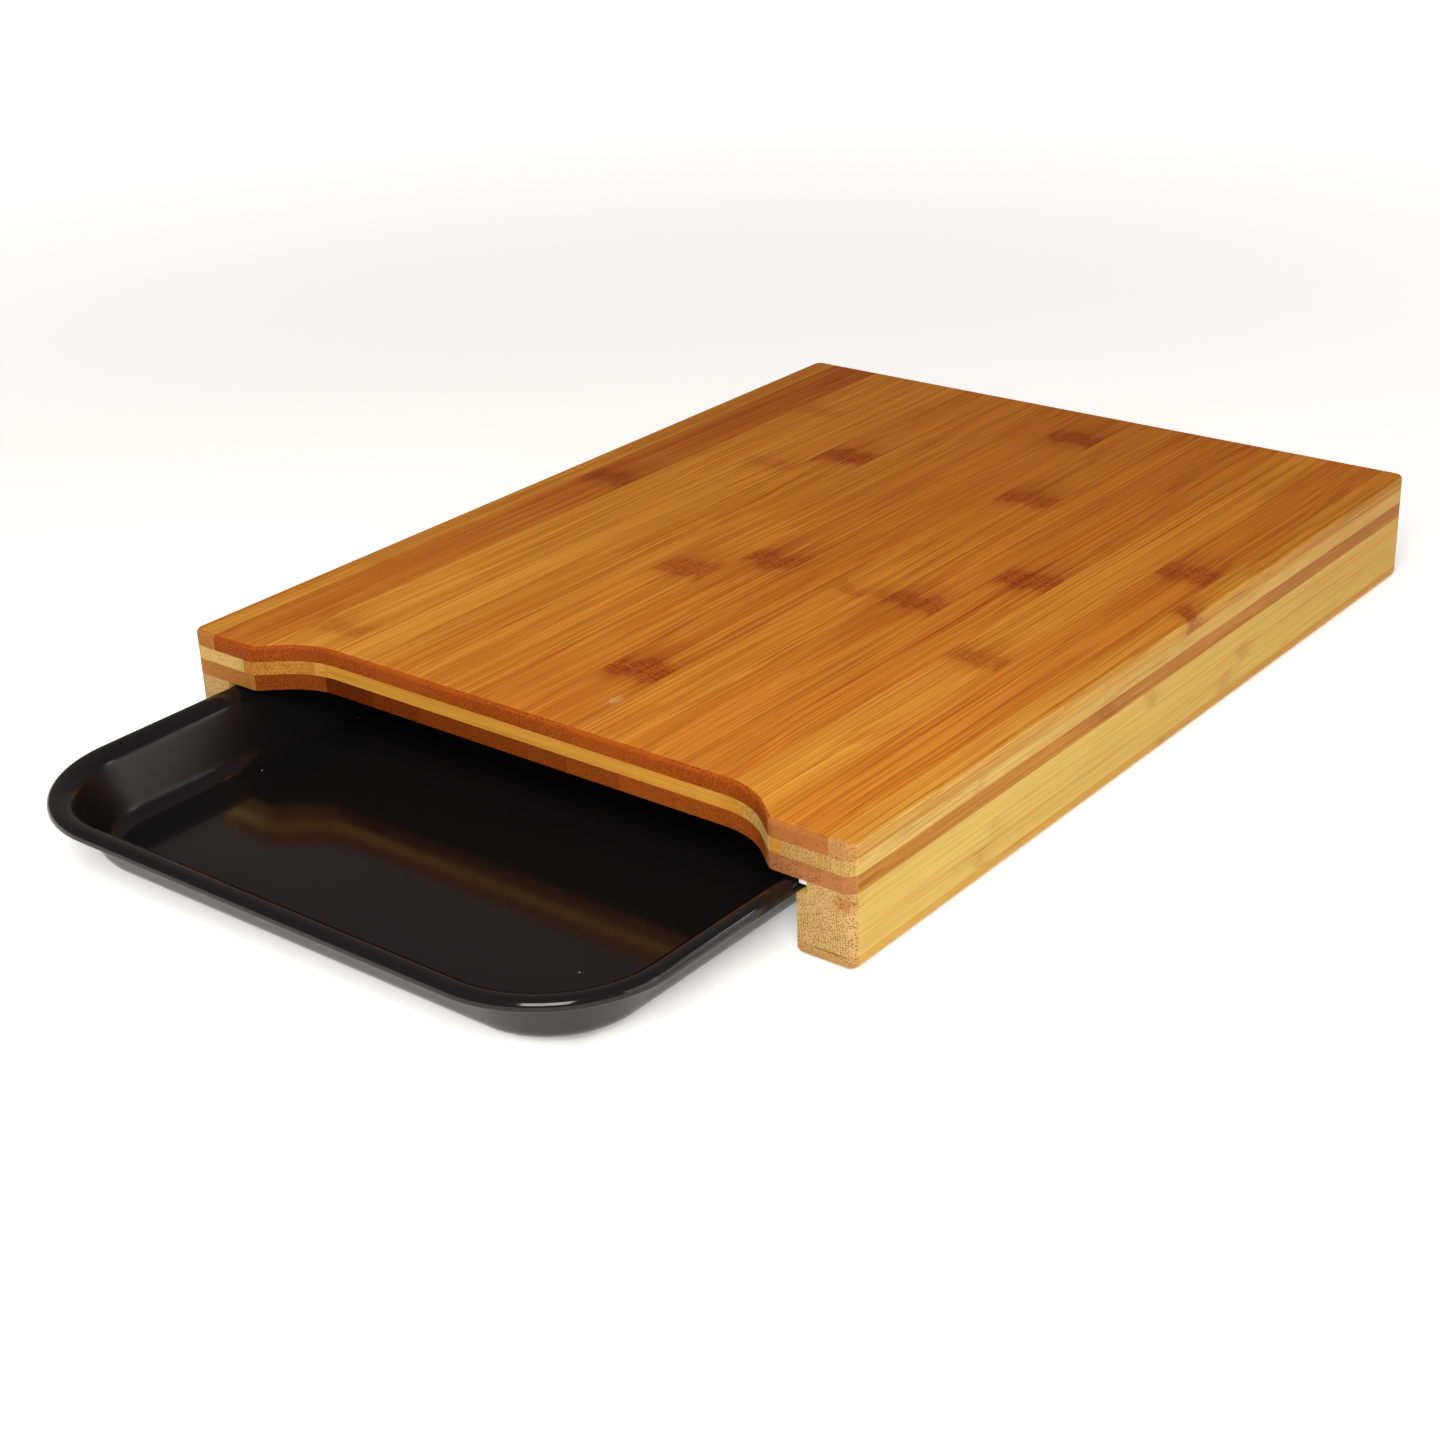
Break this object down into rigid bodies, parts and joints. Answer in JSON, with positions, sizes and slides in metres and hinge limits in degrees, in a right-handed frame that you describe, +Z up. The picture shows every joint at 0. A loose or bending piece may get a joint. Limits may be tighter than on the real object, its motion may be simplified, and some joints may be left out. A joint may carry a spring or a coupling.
{
  "type": "cutting board with drawer tray",
  "caption": "Laminated bamboo cutting board on side rails, with a sweep notch in its front edge and a shallow black tray that slides out from under it on its rim.",
  "frame": {"origin": "on the table, under the middle of the board with its tray drawn as at rest", "axes": "+Z up, -Y the way the tray pulls out, +X to the right seen from the tray's side"},
  "size_m": [0.292, 0.486, 0.044],
  "materials": {
    "honey_bamboo": "oiled",
    "pale_bamboo": "oiled",
    "caramel_bamboo": "oiled",
    "black_tray": "gloss",
    "off_white_pad": "matte"
  },
  "bodies": {
    "board": {"bottom_stave_01": "caramel_bamboo", "bottom_stave_02": "caramel_bamboo", "bottom_stave_03": "caramel_bamboo", "bottom_stave_04": "caramel_bamboo", "bottom_stave_05": "caramel_bamboo", "bottom_stave_06": "caramel_bamboo", "bottom_stave_07": "caramel_bamboo", "bottom_stave_08": "caramel_bamboo", "bottom_stave_09": "caramel_bamboo", "bottom_stave_10": "caramel_bamboo", "bottom_stave_11": "caramel_bamboo", "bottom_stave_12": "caramel_bamboo", "bottom_stave_13": "caramel_bamboo", "bottom_stave_14": "caramel_bamboo", "core_left_inner_stave": "pale_bamboo", "core_left_middle_stave": "pale_bamboo", "core_left_outer_stave": "pale_bamboo", "core_right_middle_stave": "pale_bamboo", "core_right_outer_stave": "pale_bamboo", "core_slat_01": "pale_bamboo", "core_slat_02": "pale_bamboo", "core_slat_03": "pale_bamboo", "core_slat_04": "pale_bamboo", "core_slat_05": "pale_bamboo", "core_slat_06": "pale_bamboo", "core_slat_07": "pale_bamboo", "core_slat_08": "pale_bamboo", "core_slat_09": "pale_bamboo", "core_slat_10": "pale_bamboo", "core_slat_11": "pale_bamboo", "core_slat_12": "pale_bamboo", "glide_pad": "off_white_pad", "left_rail_foot_strip": "caramel_bamboo", "left_rail_lower_layer": "pale_bamboo", "left_rail_middle_layer": "pale_bamboo", "left_rail_upper_layer": "pale_bamboo", "rear_rail": "pale_bamboo", "right_rail_foot_strip": "caramel_bamboo", "right_rail_lower_layer": "pale_bamboo", "right_rail_middle_layer": "pale_bamboo", "right_rail_upper_layer": "pale_bamboo", "top_stave_01": "honey_bamboo", "top_stave_02": "honey_bamboo", "top_stave_03": "honey_bamboo", "top_stave_04": "honey_bamboo", "top_stave_05": "honey_bamboo", "top_stave_06": "honey_bamboo", "top_stave_07": "honey_bamboo", "top_stave_08": "honey_bamboo", "top_stave_09": "honey_bamboo", "top_stave_10": "honey_bamboo", "top_stave_11": "honey_bamboo", "top_stave_12": "honey_bamboo", "top_stave_13": "honey_bamboo", "top_stave_14": "honey_bamboo"},
    "tray": {"drawer_tray": "black_tray"}
  },
  "joints": [
    {"name": "tray_slide", "type": "slide", "parent": "board", "child": "tray", "axis": [0, -1, 0], "range_m": [-0.1065, 0.155]}
  ]
}
